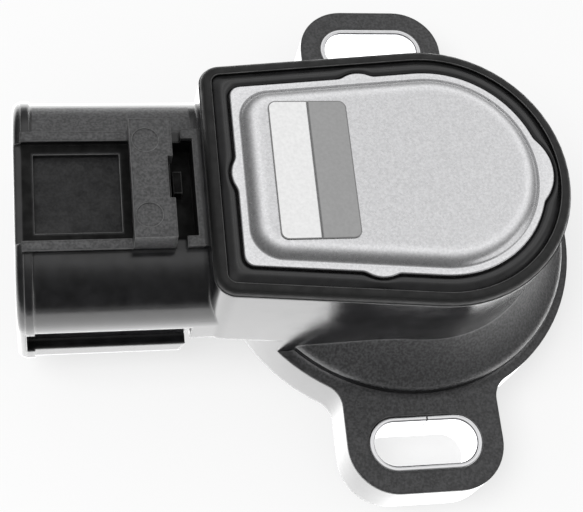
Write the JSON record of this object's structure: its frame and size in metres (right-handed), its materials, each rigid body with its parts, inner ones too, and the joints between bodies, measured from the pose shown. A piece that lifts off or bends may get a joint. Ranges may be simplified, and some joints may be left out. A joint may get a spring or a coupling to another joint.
{
  "type": "throttle position sensor",
  "caption": "Rotary throttle position sensor: black moulded body with two slotted mounting ears, a round metal cover, a side connector with a latch bridge, and a sprung rotor underneath.",
  "frame": {"origin": "on the shaft axis, at the mounting face of the flange", "axes": "+Z along the shaft axis towards the cover, -X towards the connector's mouth, Y through both mounting slots"},
  "size_m": [0.0697, 0.0662, 0.0257],
  "materials": {
    "black_moulding": "semi-gloss black glass-filled moulding with a fine grain",
    "bush_steel": "bright zinc-plated strip",
    "cover_metal": "satin pressed sheet",
    "sealant": "cured grey sealant, slightly glossy",
    "label_film": "printed film in two plain greys",
    "terminal_metal": "tin-plated brass",
    "board_ceramic": "matt white",
    "track_ink": "screen-printed black ink",
    "solder": "bright solder",
    "rotor_moulding": "matt brown-black moulding",
    "insert_brass": "turned",
    "wiper_metal": "spring sheet",
    "spring_steel": "drawn wire and stamped strip",
    "bearing_brass": "sintered bronze",
    "seal_rubber": "matt black rubber",
    "washer_steel": "plain"
  },
  "bodies": {
    "sensor_body": {"housing": "black_moulding", "slot_bush_lower": "bush_steel", "slot_bush_upper": "bush_steel", "cover": "cover_metal", "cover_sealant": "sealant", "label": "label_film", "terminal_1": "terminal_metal", "terminal_2": "terminal_metal", "terminal_3": "terminal_metal", "terminal_4": "terminal_metal", "resistor_board": "board_ceramic", "resistor_tracks": "track_ink", "solder_joints": "solder", "return_spring": "spring_steel", "rotor_bush": "bearing_brass", "shaft_seal": "seal_rubber", "thrust_washer": "washer_steel", "face_seal": "seal_rubber"},
    "rotor_body": {"rotor": "rotor_moulding", "drive_insert": "insert_brass", "wiper_carrier": "wiper_metal", "wiper_outer": "wiper_metal", "wiper_inner": "wiper_metal", "retaining_ring": "spring_steel"}
  },
  "joints": [
    {"name": "rotor_turn", "type": "hinge", "parent": "sensor_body", "child": "rotor_body", "pos_m": [0, 0, 0.006], "axis": [0, 0, 1], "range_deg": [0, 100], "stiffness_Nm_per_rad": 0.01, "springref_deg": -11.46, "deforming": ["return_spring"]}
  ]
}
